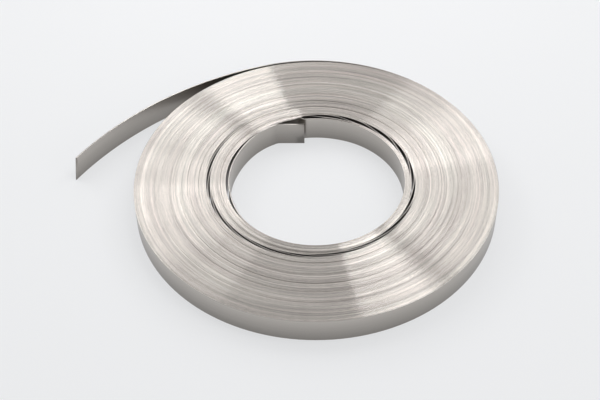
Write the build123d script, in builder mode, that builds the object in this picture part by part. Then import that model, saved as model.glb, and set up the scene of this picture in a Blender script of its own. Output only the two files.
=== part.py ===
from build123d import *
from math import cos, radians, sin
import os

# The strap, a flat steel ribbon with slit edges
strap_width = 19.0
strap_thickness = 0.76

# The coil, lying flat on the floor with its bore upright
bore_radius = 61.75
coil_radius = 126.9
turn_pitch = 0.78

# Groups of turns that rode up a little as they were wound, so that both ends of the coil are stepped
group_count = 15
least_ride = 0.15
most_ride = 0.45
ride_rhythm = 1.7
edge_shift = 0.3
edge_rhythm = 2.4
outer_turns = 3.4

# Slack between the turns, a slot right through the coil that winds inwards and widens to a mouth at the bore
slack_gap = 2.1
slack_radius = 71.4
slack_fall = 14.5
slack_start_angle = 128.0
slack_end_angle = 430.0
mouth_radius = 66.0
mouth_start_angle = 58.0
mouth_full_angle = 84.0
mouth_end_angle = 96.0

# The innermost turn bows into the bore along its left side and stands clear of the next turn
clear_gap = 1.15
clear_bow = 1.2
clear_start_angle = 124.0
clear_middle_angle = 172.0
clear_end_angle = 222.0

# The inner end, kinked off the wall of the bore and cut square
kink_x = -29.0
inner_end_x = -8.1
inner_end_y = 55.7
kink_radius = 3.0

# Behind the inner end the next turn is bent outwards, where it was wound over the kink
recess_depth = 2.75
recess_start_angle = 97.5
recess_deepest_angle = 101.0
recess_end_angle = 115.0

# The outermost turn lifts off the one below it and springs out as a tail, cut at a slant
lift_angle = 20.0
lift_rise = 1.7
lift_sweep = 87.5
gap_root_angle = 55.0
gap_open_angle = 107.0
tail_radius = 239.6
tail_sweep = 40.7
tail_slant = 2.9


def around(centre, radius, angle):
    """The point at a radius and an angle from a centre, in the plane of the coil."""
    return (centre[0] + radius * cos(radians(angle)), centre[1] + radius * sin(radians(angle)))


def wound(angle):
    """The outside of the outermost turn at an angle, on its way round to where it lifts."""
    return around((0, 0), coil_radius - turn_pitch * (lift_angle - angle) / 360, angle)


def group_edges(inner, outer):
    """The radii where one group of turns meets the next, spaced unevenly, from the bore outwards."""
    width = (outer - inner) / group_count
    edges = [inner]
    for group in range(1, group_count):
        edges.append(inner + width * (group + edge_shift * sin(edge_rhythm * group)))
    edges.append(outer)
    return edges


def stepped_end(level, edges):
    """Corners of one end of the coil, from the bore outwards, where every second group has ridden up."""
    corners = []
    for group in range(group_count):
        ride = 0.0
        if group % 2 == 1:
            ride = least_ride + (most_ride - least_ride) * abs(cos(ride_rhythm * (group - 1)))
        corners.append((edges[group], level + ride))
        corners.append((edges[group + 1], level + ride))
    return corners


# The pack of turns, one turned ring
pack_radius = coil_radius - outer_turns
edges = group_edges(bore_radius, pack_radius)
lower_end = stepped_end(0.0, edges)
upper_end = stepped_end(strap_width, edges)

# The outer band is drawn flat, so that the tail runs out of it without a seam
lift_centre = around((0, 0), -lift_rise, lift_angle)
lift_radius = coil_radius + lift_rise
tail_start_angle = lift_angle + lift_sweep
tail_centre = around(lift_centre, lift_radius - tail_radius, tail_start_angle)
tail_end_angle = tail_start_angle + tail_sweep
gap_root = gap_root_angle - 360
gap_open = gap_open_angle - 360

with BuildPart() as strap_coil:
    with BuildSketch(Plane.XZ):
        with BuildLine():
            Polyline(*lower_end, *reversed(upper_end), close=True)
        make_face()
    revolve(axis=Axis.Z)

    with BuildSketch():
        with BuildLine():
            lifting = CenterArc(lift_centre, lift_radius, lift_angle, lift_sweep)
            springing = CenterArc(tail_centre, tail_radius, tail_start_angle, tail_sweep)
            inside = CenterArc(tail_centre, tail_radius - strap_thickness, tail_end_angle, -tail_sweep)
            Line(springing @ 1, inside @ 0)
            back = CenterArc(
                lift_centre,
                lift_radius - strap_thickness,
                tail_start_angle,
                gap_root_angle - tail_start_angle,
            )
            outermost = ThreePointArc(lifting @ 0, wound((lift_angle + gap_open) / 2), wound(gap_open))
            lifted_off = ThreePointArc(outermost @ 1, wound((gap_open + gap_root) / 2), wound(gap_root))
            Line(back @ 1, lifted_off @ 1)
        make_face()
        Circle(pack_radius - strap_thickness, mode=Mode.SUBTRACT)
    extrude(amount=strap_width)

    # The cut takes a sliver off the end of the tail, which stays longest at its lower edge
    tail_end = Plane(
        origin=around(tail_centre, tail_radius, tail_end_angle),
        x_dir=around((0, 0), 1, tail_end_angle + 90),
        z_dir=around((0, 0), 1, tail_end_angle),
    )
    with BuildSketch(tail_end):
        with BuildLine():
            Polyline((0, 0), (0, strap_width), (-tail_slant, strap_width), close=True)
        make_face()
    extrude(amount=2 * strap_thickness, both=True, mode=Mode.SUBTRACT)

    # The recess is cut before the inner end is put in front of it
    with BuildSketch():
        with BuildLine():
            Polyline(
                around((0, 0), bore_radius, recess_start_angle),
                around((0, 0), bore_radius + recess_depth, recess_deepest_angle),
                around((0, 0), bore_radius, recess_end_angle),
                close=True,
            )
        make_face()
    extrude(amount=strap_width, mode=Mode.SUBTRACT)

    # The inner end starts inside the wall of the bore, where the strap is kinked
    with BuildSketch():
        with Locations((kink_x, inner_end_y)):
            Rectangle(inner_end_x - kink_x, strap_thickness, align=(Align.MIN, Align.MIN))
    extrude(amount=strap_width)
    bend = strap_coil.edges().filter_by(Axis.Z).sort_by_distance((kink_x, inner_end_y, strap_width / 2))[0]
    fillet(bend, kink_radius)

    # The slack winds inwards, so each half of its round is an arc about a point a little further forward
    with BuildSketch():
        with BuildLine():
            rise = slack_fall / 4
            CenterArc((0, rise), slack_radius + rise, slack_start_angle, 270 - slack_start_angle)
            CenterArc((0, -rise), slack_radius - rise, 270, slack_end_angle - 270)
        trace(line_width=slack_gap)
    extrude(amount=strap_width, mode=Mode.SUBTRACT)

    # At its mouth only one thickness of strap is left between the slack and the bore
    with BuildSketch():
        with BuildLine():
            rim = CenterArc((0, 0), mouth_radius, mouth_start_angle, mouth_end_angle - mouth_start_angle)
            single_turn = CenterArc(
                (0, 0),
                bore_radius + strap_thickness,
                mouth_end_angle,
                mouth_full_angle - mouth_end_angle,
            )
            Line(rim @ 1, single_turn @ 0)
            TangentArc(single_turn @ 1, rim @ 0, tangent=single_turn % 1)
        make_face()
    extrude(amount=strap_width, mode=Mode.SUBTRACT)

    # The bow is added inside the bore, and the slot behind it leaves a single thickness of strap
    with BuildSketch():
        with BuildLine():
            bow = ThreePointArc(
                around((0, 0), bore_radius, clear_start_angle),
                around((0, 0), bore_radius - clear_bow, clear_middle_angle),
                around((0, 0), bore_radius, clear_end_angle),
            )
            ThreePointArc(bow @ 1, around((0, 0), bore_radius + clear_gap, clear_middle_angle), bow @ 0)
        make_face()
    extrude(amount=strap_width)
    with BuildSketch():
        with BuildLine():
            behind = strap_thickness + clear_gap / 2
            ThreePointArc(
                around((0, 0), bore_radius + behind, clear_start_angle),
                around((0, 0), bore_radius - clear_bow + behind, clear_middle_angle),
                around((0, 0), bore_radius + behind, clear_end_angle),
            )
        trace(line_width=clear_gap)
    extrude(amount=strap_width, mode=Mode.SUBTRACT)

strap_coil.part.label = "strap_coil"

os.makedirs("parts", exist_ok=True)
export_step(strap_coil.part, "parts/strap_coil.step")

turns = (coil_radius - slack_gap - bore_radius) / turn_pitch
print("turns:", round(turns))
print("volume in cubic centimetres:", round(strap_coil.part.volume / 1000, 1))
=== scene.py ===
from math import cos, pi, radians, sin, sqrt

import bpy
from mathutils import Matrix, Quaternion, Vector


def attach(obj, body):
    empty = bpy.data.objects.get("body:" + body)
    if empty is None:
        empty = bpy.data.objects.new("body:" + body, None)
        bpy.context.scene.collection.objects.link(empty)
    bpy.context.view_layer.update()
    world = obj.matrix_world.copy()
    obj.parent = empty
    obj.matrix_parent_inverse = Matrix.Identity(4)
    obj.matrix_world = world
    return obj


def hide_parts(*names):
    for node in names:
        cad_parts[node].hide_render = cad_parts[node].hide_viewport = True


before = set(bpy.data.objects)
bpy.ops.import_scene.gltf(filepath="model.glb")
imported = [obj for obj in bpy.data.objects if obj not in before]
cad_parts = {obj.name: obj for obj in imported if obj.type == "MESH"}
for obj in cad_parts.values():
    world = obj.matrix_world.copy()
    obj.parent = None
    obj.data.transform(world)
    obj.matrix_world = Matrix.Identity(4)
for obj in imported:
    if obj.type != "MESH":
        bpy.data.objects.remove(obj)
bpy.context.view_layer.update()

# The strap is one length of bright stainless ribbon, rolled flat, slit to width and wound on itself.
# Its slit edges are rounded over a little, and they are what shows on the ends of the coil.
# The turns lie on each other, apart from some slack near the bore, and both ends of the strap are free.
MM = 0.001
strap_width = 19.0
strap_thickness = 0.76
edge_round = 0.17

bore_radius = 61.75
coil_radius = 126.9
angle_step = 2.5

# The inner end is a straight tab, bent off the wall of the bore.
# It gets a little painted shade, and the turn that passes behind it gets a painted shadow.
tab_x = -8.1
tab_y = 56.1
kink_angle = 117.5
kink_length = 1.7
bend_points = 2
tab_painted_shade = 0.2
painted_shadow_turns = (1.0, 1.015, 1.05, 1.08)

# The slack is a gap that fades in at the back, winds inwards over a whole round,
# and widens to a mouth where it meets the bore. Its radius is given where it passes the front.
slack_gap = 1.6
slack_front = 270.0
slack_radius = 71.4
slack_fall = 14.5
slack_from = 60.0
slack_end = 459.0
slack_fade = 20.0
slack_faint = 0.2
slack_opening = 115.0
slack_full = 180.0
mouth_from = 290.0
mouth_full = 445.0
mouth_gap = 2.3

# At most two turns hang in the slack at once, so its sides are sharp, and it never reaches the first turn
slack_spread = 0.9
mouth_spread = 0.4
slack_lowest = 1.5

# The innermost turn bows clear of the next one along the left of the bore
clear_gap = 1.8
clear_angles = (124.0, 160.0, 190.0, 225.0)
clear_turn = 0.7
clear_spread = 0.2

# The pack bulges over the mouth of the slack and dips beside it, less and less from turn to turn
bulge = 0.81
bulge_angles = (55.0, 84.0, 93.0, 103.0)
bulge_lowest = 1.5
dip = 0.84
dip_angles = (98.0, 108.0, 118.0, 170.0)
round_again = 28.0

# The outermost turn lifts off and springs out as a tail, cut at a slant that leaves its lower edge longest
lift_angle = 20.0
lift_rise = 1.7
lift_sweep = 87.5
tail_radius = 239.6
tail_sweep = 41.0
tail_steps = 36
tail_slant = 3.7

# Turns are counted from an angle close to the tip of the inner end
count_angle = 97.0
whole_turns = 80
lift_at = lift_angle + 360 * whole_turns
turn_pitch = (coil_radius - slack_gap - bore_radius) / ((lift_at - count_angle) / 360 + 1)


def smooth(value, low, high):
    """From 0 at low to 1 at high, level at both ends."""
    share = min(1.0, max(0.0, (value - low) / (high - low)))
    return share * share * (3 - 2 * share)


def rise_and_fall(value, low, full, closing, high):
    """From 0 at low to 1 at full, and from 1 at closing back to 0 at high."""
    return smooth(value, low, full) * (1 - smooth(value, closing, high))


def around(centre, radius, angle):
    """The point at a radius and an angle from a centre, in the plane of the coil."""
    return (centre[0] + radius * cos(radians(angle)), centre[1] + radius * sin(radians(angle)))


def slack_width(angle):
    """The width of the slack at an angle counted on over its whole round, from slack_from to slack_end."""
    if not slack_from < angle < slack_end:
        return 0.0
    opening = slack_faint + (1 - slack_faint) * smooth(angle, slack_opening, slack_full)
    wider = (mouth_gap - slack_gap) * smooth(angle, mouth_from, mouth_full)
    return slack_gap * opening * smooth(angle, slack_from, slack_from + slack_fade) + wider


def outside(turns, place):
    """From 0 for the turns inside the slack to 1 for those outside it, at an angle counted on as above."""
    line = slack_radius - slack_fall * (place - slack_front) / 360
    inner_side = line - slack_gap + slack_width(place) / 2
    below = max((inner_side - bore_radius) / turn_pitch - 0.5, slack_lowest)
    spread = slack_spread + (mouth_spread - slack_spread) * smooth(place, mouth_from, mouth_full)
    return smooth(turns, below - spread, below + spread)


def painted_shade(turns, angle):
    """How much painted shade a turn gets between its neighbours, at most 1, halfway across the slack."""
    painted_shade_amount = 0.0
    for place in (angle, angle + 360):
        share = outside(turns, place)
        painted_shade_amount += 4 * share * (1 - share) * slack_width(place) / slack_gap
    return min(painted_shade_amount, 1.0)


def opened(turns, angle):
    """How far a turn is pushed out by the slack, where angle is from 0 to 360."""
    pushed = slack_gap
    for place in (angle, angle + 360):
        pushed -= slack_width(place) * (1 - outside(turns, place))
    innermost = 1 - smooth(turns, clear_turn - clear_spread, clear_turn + clear_spread)
    pushed -= clear_gap * rise_and_fall(angle, *clear_angles) * innermost
    easing = 1 - smooth(turns, 0, round_again)
    if turns > bulge_lowest:
        pushed += bulge * easing * rise_and_fall(angle, *bulge_angles)
    return pushed - dip * easing * rise_and_fall(angle, *dip_angles)


def coil_path():
    """The middle of the strap from its inner end to its tail, and how much painted shade it gets at each
    point.
    """
    middle = bore_radius + turn_pitch - strap_thickness / 2
    points = []
    painted_shades = []
    angle = kink_angle
    while angle <= lift_at:
        turns = (angle - count_angle) / 360
        radius = middle + turn_pitch * turns + opened(turns, angle % 360)
        points.append(around((0, 0), radius, angle))
        # Painted shade darkens the turns that cross the slack and the turn that passes behind the tab
        painted_shades.append(max(painted_shade(turns, angle % 360), rise_and_fall(turns, *painted_shadow_turns)))
        angle += angle_step

    # The tab and the bend of the kink take the place of the first points
    corner = Vector((-sqrt(Vector(points[0]).length_squared - tab_y**2), tab_y))
    ahead = (Vector(points[bend_points]) - corner).normalized()
    start = [Vector((tab_x, tab_y))]
    for share in (0.0, 0.25, 0.5, 0.75, 1.0):
        before = corner + Vector((kink_length * (1 - share), 0))
        after = corner + ahead * kink_length * share
        start.append(before.lerp(after, share))
    points = [tuple(p) for p in start] + points[bend_points:]
    # The tab gets a little painted shade
    painted_shades = [tab_painted_shade] * len(start) + painted_shades[bend_points:]

    lift_centre = around((0, 0), -lift_rise, lift_angle)
    lift_radius = coil_radius + lift_rise
    for count in range(1, int(lift_sweep / angle_step) + 1):
        angle = lift_angle + count * angle_step
        points.append(around(lift_centre, lift_radius - strap_thickness / 2, angle))
    tail_start = lift_angle + lift_sweep
    tail_centre = around(lift_centre, lift_radius - tail_radius, tail_start)
    for count in range(1, tail_steps + 1):
        angle = tail_start + tail_sweep * count / tail_steps
        points.append(around(tail_centre, tail_radius - strap_thickness / 2, angle))
    return points, painted_shades + [0.0] * (len(points) - len(painted_shades))


# Groups of turns rode up a little as they were wound
group_count = 15
least_ride = 0.15
most_ride = 0.45
ride_rhythm = 1.7
edge_shift = 0.3
edge_rhythm = 2.4
edge_blur = 0.1
outer_turns = 3.4

# Each turn strays up a little more, and over its last points the tail comes down to the floor
stray = 0.16
stray_length = 230.0
stray_fade = 40
draw_angle = 12.9898
draw_scale = 43758.5453


def ride(radius):
    """How far the group of turns at this radius rode up."""
    pack_radius = coil_radius - outer_turns
    width = (pack_radius - bore_radius) / group_count
    place = (radius - bore_radius) / width
    height = 0.0
    for group in range(1, group_count, 2):
        start = group + edge_shift * sin(edge_rhythm * group)
        end = group + 1 + edge_shift * sin(edge_rhythm * (group + 1))
        lifted = least_ride + (most_ride - least_ride) * abs(cos(ride_rhythm * (group - 1)))
        within = smooth(place, start - edge_blur, start + edge_blur)
        beyond = smooth(place, end - edge_blur, end + edge_blur)
        height += lifted * within * (1 - beyond)
    return height


def drawn(number):
    """A number between 0 and 1 that looks random, and is always the same for the same whole number."""
    return (sin(draw_angle * number) * draw_scale) % 1


def wander(distance):
    """A smooth stray between 0 and 1 along the strap, never the same on two turns side by side."""
    stretch = int(distance // stray_length)
    share = smooth(distance / stray_length - stretch, 0, 1)
    return drawn(stretch) + (drawn(stretch + 1) - drawn(stretch)) * share


path, painted_shades = coil_path()
route = bpy.data.meshes.new("strap_route")
vertices = []
travelled = 0.0
for count, point in enumerate(path):
    if count:
        travelled += (Vector(point) - Vector(path[count - 1])).length
    fade = smooth(len(path) - count, 0, stray_fade)
    height = strap_width / 2 + ride(Vector(point).length) + stray * wander(travelled) * fade
    vertices.append((point[0] * MM, point[1] * MM, height * MM))
route.from_pydata(vertices, [(i, i + 1) for i in range(len(vertices) - 1)], [])
# Each point keeps its painted shade for the material
route.attributes.new("painted_shade", "FLOAT", "POINT").data.foreach_set("value", painted_shades)
strap = bpy.data.objects.new("strap", route)
bpy.context.scene.collection.objects.link(strap)


class Wire:
    """The output of a node, on which arithmetic adds Math nodes."""

    def __init__(self, graph, socket):
        self.graph = graph
        self.socket = socket

    def maths(self, operation, *values):
        return self.graph.add("ShaderNodeMath", {"operation": operation}, dict(enumerate(values)))

    def __add__(self, other):
        return self.maths("ADD", self, other)

    __radd__ = __add__

    def __sub__(self, other):
        return self.maths("SUBTRACT", self, other)

    def __rsub__(self, other):
        return self.maths("SUBTRACT", other, self)

    def __mul__(self, other):
        return self.maths("MULTIPLY", self, other)

    __rmul__ = __mul__

    def __truediv__(self, other):
        return self.maths("DIVIDE", self, other)

    def __lt__(self, other):
        return self.maths("LESS_THAN", self, other)

    def __abs__(self):
        return self.maths("ABSOLUTE", self)


class Graph:
    """A node tree that is built one node at a time."""

    def __init__(self, tree):
        self.tree = tree

    def fill(self, node, values):
        """Give the named sockets of a node their values or links."""
        for name, value in values.items():
            if isinstance(value, Wire):
                self.tree.links.new(value.socket, node.inputs[name])
            else:
                node.inputs[name].default_value = value

    def add(self, kind, settings=None, values=None, out=0):
        """A node of this type, with its settings made first and then its sockets filled."""
        node = self.tree.nodes.new(kind)
        for name, value in (settings or {}).items():
            setattr(node, name, value)
        self.fill(node, values or {})
        return Wire(self, node.outputs[out]) if len(node.outputs) else node


def sweep_tree():
    """The nodes that sweep the strap's section along its route."""
    tree = bpy.data.node_groups.new("sweep_strap", "GeometryNodeTree")
    tree.interface.new_socket("Route", in_out="INPUT", socket_type="NodeSocketGeometry")
    for name in ("Width", "Thickness", "Edge Round", "Slant"):
        tree.interface.new_socket(name, in_out="INPUT", socket_type="NodeSocketFloat")
    tree.interface.new_socket("Finish", in_out="INPUT", socket_type="NodeSocketMaterial")
    tree.interface.new_socket("Strap", in_out="OUTPUT", socket_type="NodeSocketGeometry")
    graph = Graph(tree)
    names = ("Route", "Width", "Thickness", "Edge Round", "Slant", "Finish")
    taken = {name: graph.add("NodeGroupInput", out=name) for name in names}

    def store(geometry, name, value, data_type="FLOAT", domain="POINT"):
        """The geometry with this value stored on it under this name."""
        return graph.add(
            "GeometryNodeStoreNamedAttribute",
            {"data_type": data_type, "domain": domain},
            {"Geometry": geometry, "Name": name, "Value": value},
        )

    def stored(name, data_type="FLOAT"):
        """A value that was stored under this name."""
        return graph.add(
            "GeometryNodeInputNamedAttribute",
            {"data_type": data_type},
            {"Name": name},
            out="Attribute",
        )

    curve = graph.add("GeometryNodeMeshToCurve", values={"Mesh": taken["Route"]})
    curve = graph.add("GeometryNodeSetCurveNormal", {"mode": "Z_UP"}, {"Curve": curve})
    curve = store(curve, "along", graph.add("GeometryNodeSplineParameter", out="Length"))
    last = graph.add("GeometryNodeCurveEndpointSelection", values={"Start Size": 0, "End Size": 1})
    heading = graph.add("GeometryNodeInputTangent")
    cut = graph.add(
        "ShaderNodeVectorMath",
        {"operation": "SCALE"},
        {"Vector": heading, "Scale": last * taken["Slant"]},
    )
    curve = store(curve, "cut", cut, "FLOAT_VECTOR")

    section = graph.add(
        "GeometryNodeCurvePrimitiveQuadrilateral",
        {"mode": "RECTANGLE"},
        {"Width": taken["Thickness"], "Height": taken["Width"]},
    )
    section = graph.add(
        "GeometryNodeFilletCurve",
        values={"Curve": section, "Radius": taken["Edge Round"]},
    )
    place = graph.add("GeometryNodeInputPosition")
    height = graph.add("ShaderNodeSeparateXYZ", values={"Vector": place}, out="Y")
    section = store(section, "across", height)
    swept = graph.add(
        "GeometryNodeCurveToMesh",
        values={"Curve": curve, "Profile Curve": section, "Fill Caps": True},
    )
    swept = graph.add("GeometryNodeSetShadeSmooth", values={"Geometry": swept, "Shade Smooth": True})

    # The last section leans back along the strap, by nothing at its lower edge and most at its upper one.
    # The section's height counts downwards, so the share goes from 0 at the lower edge to -1 at the upper.
    level = stored("across")
    share = level / taken["Width"] - 0.5
    lean = graph.add(
        "ShaderNodeVectorMath",
        {"operation": "SCALE"},
        {"Vector": stored("cut", "FLOAT_VECTOR"), "Scale": share},
    )
    swept = graph.add("GeometryNodeSetPosition", values={"Geometry": swept, "Offset": lean})

    # The flat faces of the strap end in a crease, so that only the slit edges look round
    rail = taken["Width"] / 2 - taken["Edge Round"]
    crease = abs(abs(level) - rail) < taken["Edge Round"] / 4
    swept = store(swept, "sharp_edge", crease, "BOOLEAN", "EDGE")
    swept = graph.add("GeometryNodeRealizeInstances", values={"Geometry": swept})
    swept = graph.add("GeometryNodeSetMaterial", values={"Geometry": swept, "Material": taken["Finish"]})
    graph.add("NodeGroupOutput", values={"Strap": swept})
    return tree


def strap_steel():
    """Stainless strap: grey rolled faces with fine lines along them, and brighter slit edges."""
    rolled_colour = (0.395, 0.372, 0.347, 1)
    warm_slit_colour = (0.63, 0.575, 0.548, 1)
    pale_slit_colour = (0.63, 0.612, 0.570, 1)
    rolled_roughness = 0.32
    slit_roughness = 0.10
    roughness_change = 0.05

    # How much each noise changes the tone of the slit edges or of the rolled faces
    turn_change = 0.5
    fine_change = 0.14
    band_change = 0.45
    broad_change = 0.2
    rolled_change = 0.12

    # How much painted shade darkens a rolled face from its upper to its lower edge, and the turns in the
    # slack and behind the tab
    painted_lower_shade = 0.6
    painted_shade_depth = 0.5

    material = bpy.data.materials.new("strap_steel")
    material.use_nodes = True
    tree = material.node_tree
    graph = Graph(tree)

    along = graph.add("ShaderNodeAttribute", {"attribute_name": "along"}, out="Fac")
    across = graph.add("ShaderNodeAttribute", {"attribute_name": "across"}, out="Fac")
    # How much painted shade each point of the strap gets
    painted_shade_amount = graph.add("ShaderNodeAttribute", {"attribute_name": "painted_shade"}, out="Fac")
    place = graph.add("ShaderNodeTexCoord", out="Object")

    # The colour of the slit edge comes in over the last bit of the rolled face
    rail = (strap_width / 2 - edge_round) * MM
    edge_inside = 0.2 * MM
    edge_outside = 0.02 * MM
    edge = graph.add(
        "ShaderNodeMapRange",
        {"interpolation_type": "SMOOTHSTEP"},
        {"Value": abs(across), "From Min": rail - edge_inside, "From Max": rail + edge_outside},
    )

    def along_strap(length, seed, detail):
        """Noise along the strap, with features of about this length in millimetres."""
        return graph.add(
            "ShaderNodeTexNoise",
            {"noise_dimensions": "1D"},
            {"W": along / (length * MM) + seed, "Scale": 1.0, "Detail": detail},
            out=0,
        )

    def in_rings(width, rounds, seed):
        """Noise in rings of about this width in millimetres, which changes slowly on the way round."""
        flat = graph.add("ShaderNodeVectorMath", {"operation": "MULTIPLY"}, {0: place, 1: (1, 1, 0)})
        outwards = graph.add("ShaderNodeVectorMath", {"operation": "NORMALIZE"}, {0: flat})
        slow = graph.add("ShaderNodeVectorMath", {"operation": "SCALE"}, {0: outwards, "Scale": rounds})
        radius = graph.add("ShaderNodeVectorMath", {"operation": "LENGTH"}, {0: flat}, out="Value")
        rise = graph.add("ShaderNodeCombineXYZ", values={"Z": radius / (width * MM) + seed})
        spot = graph.add("ShaderNodeVectorMath", {"operation": "ADD"}, {0: slow, 1: rise})
        return graph.add("ShaderNodeTexNoise", values={"Vector": spot, "Scale": 1.0, "Detail": 1.0}, out=0)

    def in_lines(width, length):
        """Noise in fine lines along the strap, of about this width and length in millimetres."""
        sides = {"X": across / (width * MM), "Y": along / (length * MM)}
        spot = graph.add("ShaderNodeCombineXYZ", values=sides)
        return graph.add("ShaderNodeTexNoise", values={"Vector": spot, "Scale": 1.0, "Detail": 2.0}, out=0)

    turn_tone = along_strap(length=260.0, seed=3.1, detail=1.0) - 0.5
    fine_tone = along_strap(length=40.0, seed=11.7, detail=2.0) - 0.5
    band_tone = in_rings(width=2.6, rounds=1.3, seed=0.0) - 0.5
    warmth = in_rings(width=9.0, rounds=1.0, seed=40.0)
    rolled_tone = in_lines(width=1.2, length=90.0) - 0.5

    on_edge = turn_tone * turn_change + fine_tone * fine_change + band_tone * band_change
    on_edge = on_edge + (warmth - 0.5) * broad_change
    # Painted shade darkens each rolled face towards its lower edge
    on_face = rolled_tone * rolled_change - across / (strap_width * MM) * painted_lower_shade
    varied_and_shaded = on_edge * edge + on_face * (1 - edge)
    # Painted shade darkens the turns in the slack and behind the tab
    shade = (1 + varied_and_shaded) * (1 - painted_shade_amount * painted_shade_depth)
    tone = graph.add("ShaderNodeCombineColor", values={"Red": shade, "Green": shade, "Blue": shade})
    slit_steel = graph.add(
        "ShaderNodeMix",
        {"data_type": "RGBA"},
        {"Factor": warmth, "A": warm_slit_colour, "B": pale_slit_colour},
        out=2,
    )
    steel = graph.add(
        "ShaderNodeMix",
        {"data_type": "RGBA"},
        {"Factor": edge, "A": rolled_colour, "B": slit_steel},
        out=2,
    )
    colour = graph.add(
        "ShaderNodeMix",
        {"data_type": "RGBA", "blend_type": "MULTIPLY"},
        {"Factor": 1.0, "A": steel, "B": tone},
        out=2,
    )
    smoother = edge * (rolled_roughness - slit_roughness)
    roughness = rolled_roughness - smoother + fine_tone * roughness_change
    shader = tree.nodes["Principled BSDF"]
    graph.fill(shader, {"Base Color": colour, "Metallic": 1.0, "Roughness": roughness})
    return material


steel = strap_steel()
route.materials.append(steel)
sweep = strap.modifiers.new("sweep", "NODES")
sweep.node_group = sweep_tree()
given = {
    "Width": strap_width * MM,
    "Thickness": strap_thickness * MM,
    "Edge Round": edge_round * MM,
    "Slant": tail_slant * MM,
    "Finish": steel,
}
for item in sweep.node_group.interface.items_tree:
    if item.name in given:
        sweep[item.identifier] = given[item.name]

evaluated = strap.evaluated_get(bpy.context.evaluated_depsgraph_get())
mesh = bpy.data.meshes.new_from_object(evaluated)
strap.modifiers.clear()
strap.data = mesh
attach(strap, "root")
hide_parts("strap_coil")

# The stage is a plain pale floor that fills the view.
# It shows almost white to the camera and in the steel, and keeps part of the shadow.
floor_size = 8.0
grain_scale = 60.0
darker_paper = (0.85, 0.86, 0.875, 1)
lighter_paper = (0.87, 0.88, 0.895, 1)
glow_colour = (0.92, 0.93, 0.945, 1)
glow_share = 0.65


def floor_paint():
    """Matt pale paper, with a glow mixed in for the rays that see it directly or in the steel."""
    material = bpy.data.materials.new("floor_paint")
    material.use_nodes = True
    tree = material.node_tree
    graph = Graph(tree)
    grain = graph.add("ShaderNodeTexNoise", values={"Scale": grain_scale, "Detail": 2.0}, out=0)
    paper = graph.add(
        "ShaderNodeMix",
        {"data_type": "RGBA"},
        {"Factor": grain, "A": darker_paper, "B": lighter_paper},
        out=2,
    )
    shader = tree.nodes["Principled BSDF"]
    graph.fill(shader, {"Base Color": paper, "Roughness": 0.9, "Specular IOR Level": 0.0})
    rays = ("Is Camera Ray", "Is Glossy Ray", "Is Transmission Ray")
    seen = sum(graph.add("ShaderNodeLightPath", out=ray) for ray in rays)
    glow = graph.add("ShaderNodeEmission", values={"Color": glow_colour, "Strength": 1.0})
    paint = Wire(graph, shader.outputs[0])
    painted = graph.add("ShaderNodeMixShader", values={"Fac": seen * glow_share, 1: paint, 2: glow})
    graph.fill(tree.nodes["Material Output"], {"Surface": painted})
    return material


bpy.ops.mesh.primitive_plane_add(size=floor_size)
floor = bpy.context.active_object
floor.name = "floor"
floor.data.materials.append(floor_paint())

# Soft boxes round and over the coil light it, in a dim grey room.
# The overhead box lights a fan with one sharp side at the back and the front of the coil's upper end.
room_colour = (0.26, 0.255, 0.25, 1)
world = bpy.data.worlds.new("room")
bpy.context.scene.world = world
world.use_nodes = True
world.node_tree.nodes["Background"].inputs["Color"].default_value = room_colour


def soft_box(name, towards, distance, width, height, radiance, roll=0.0):
    """A rectangular lamp that stands in this direction from the coil and faces it."""
    lamp = bpy.data.lights.new(name, "AREA")
    lamp.shape = "RECTANGLE"
    lamp.size = width
    lamp.size_y = height
    lamp.energy = radiance * pi * width * height
    holder = bpy.data.objects.new(name, lamp)
    direction = Vector(towards).normalized()
    holder.location = direction * distance
    holder.rotation_mode = "QUATERNION"
    holder.rotation_quaternion = direction.to_track_quat("Z", "Y") @ Quaternion((0, 0, 1), radians(roll))
    bpy.context.scene.collection.objects.link(holder)


soft_box("overhead_box", (0.373, 0.0, 0.928), 3.0, 0.8, 1.175, 4.2, 15.0)
soft_box("right_box", (0.60, 0.30, 0.74), 1.5, 0.5, 0.5, 2.5)
soft_box("right_back_box", (0.60, 0.52, 0.60), 1.5, 0.5, 0.5, 1.8)
soft_box("left_low_box", (-0.60, 0.66, 0.45), 1.5, 0.4, 0.4, 1.9)
soft_box("left_box", (-0.62, 0.52, 0.58), 1.5, 0.4, 0.4, 3.3)
soft_box("left_high_box", (-0.64, 0.34, 0.68), 1.5, 0.45, 0.45, 2.3)
soft_box("left_top_box", (-0.45, 0.25, 0.86), 1.5, 0.5, 0.5, 1.2)
soft_box("left_wall", (-0.9, 0.05, 0.5), 1.5, 1.2, 0.8, 0.35)
soft_box("near_back_box", (0.0, 0.80, 0.60), 0.45, 0.5, 0.2, 1.2)
soft_box("back_top_box", (0.0, 0.5, 0.86), 1.5, 0.8, 0.5, 1.5)
soft_box("right_front_box", (0.75, -0.45, 0.5), 1.5, 0.8, 0.6, 1.6)

# The camera looks down on the coil from the front, tilted a little to its side as in the photo
camera_place = (-0.0003, -0.6161, 0.6383)
aim = Vector((-0.0111, -0.0013, -0.0011))
roll = -0.92
lens = 75.2
sensor = 36.0
camera = bpy.data.objects.new("camera", bpy.data.cameras.new("camera"))
camera.data.lens = lens
camera.data.sensor_width = sensor
camera.location = camera_place
level = (aim - camera.location).to_track_quat("-Z", "Y")
camera.rotation_mode = "QUATERNION"
camera.rotation_quaternion = level @ Quaternion((0, 0, 1), radians(roll))
bpy.context.scene.collection.objects.link(camera)
bpy.context.scene.camera = camera
bpy.context.scene.view_settings.view_transform = "Standard"
